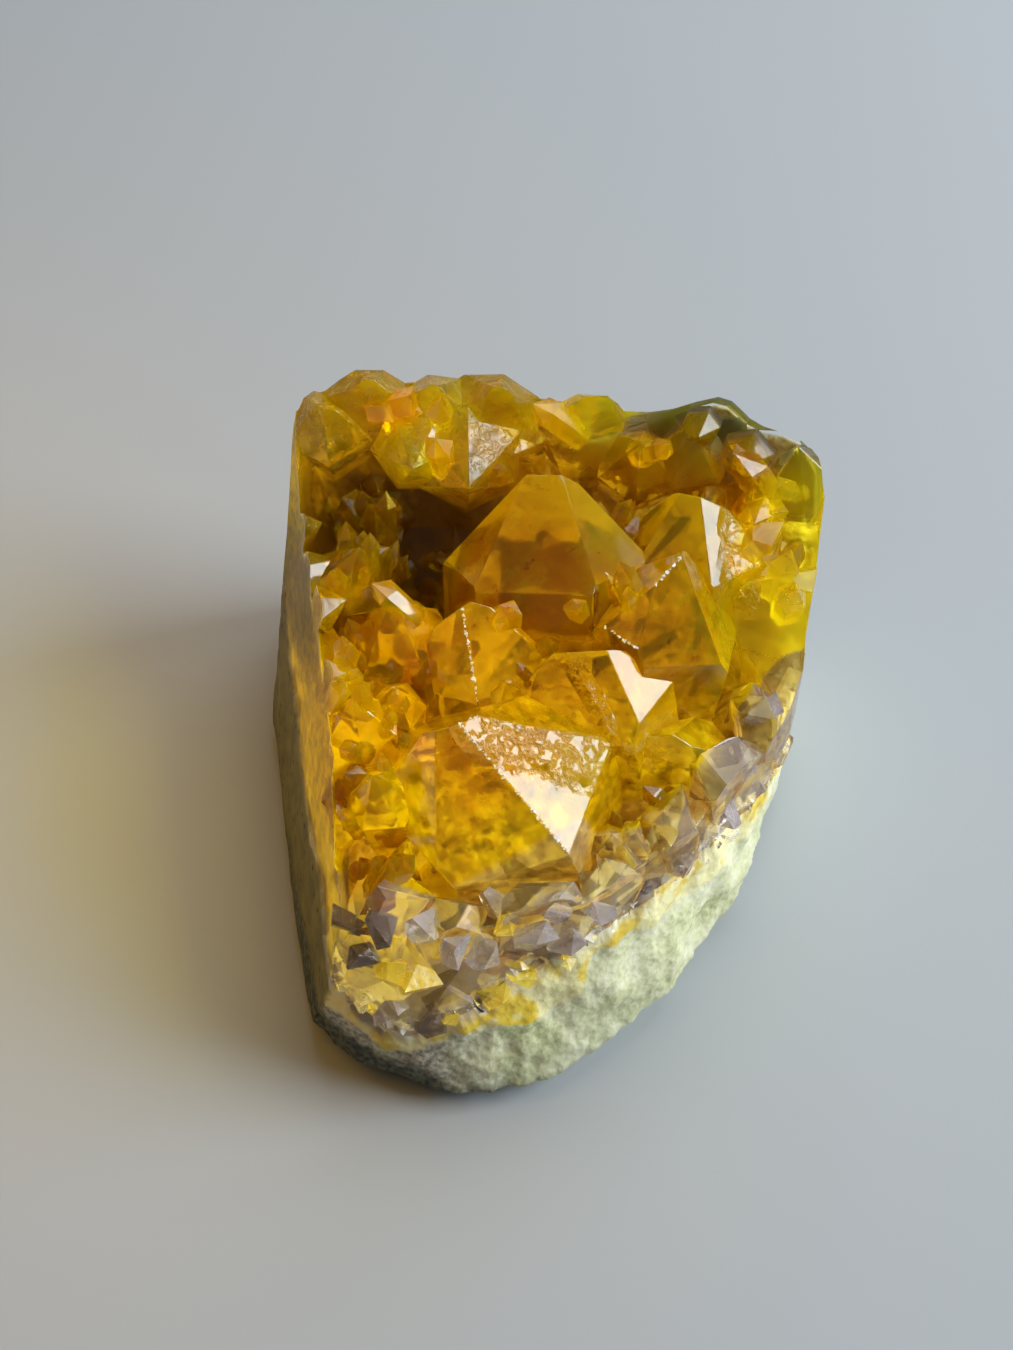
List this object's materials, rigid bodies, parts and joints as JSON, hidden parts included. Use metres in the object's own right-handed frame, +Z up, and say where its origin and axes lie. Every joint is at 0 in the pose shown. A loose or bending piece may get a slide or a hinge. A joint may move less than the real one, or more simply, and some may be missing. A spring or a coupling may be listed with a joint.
{
  "type": "citrine cluster",
  "caption": "Broken piece of a quartz-lined geode: amber citrine points fused on a grey quartz bed, in a pale chalcedony rind with a flat underside",
  "frame": {"origin": "under the middle of the piece's bounding box, on the face that it rests on", "axes": "+Z up; +Y toward the high side of the piece, where the crystals hang over; -Y toward the low broken edge; -X toward the steep, nearly flat break"},
  "size_m": [0.0344, 0.0392, 0.0238],
  "materials": {
    "citrine_quartz": "clear amber crystal faces, etched in places",
    "chalcedony_rind": "rough broken stone, pale with dark green skin"
  },
  "bodies": {
    "root": {"citrine_crystals": "citrine_quartz", "geode_matrix": "chalcedony_rind"}
  },
  "joints": []
}
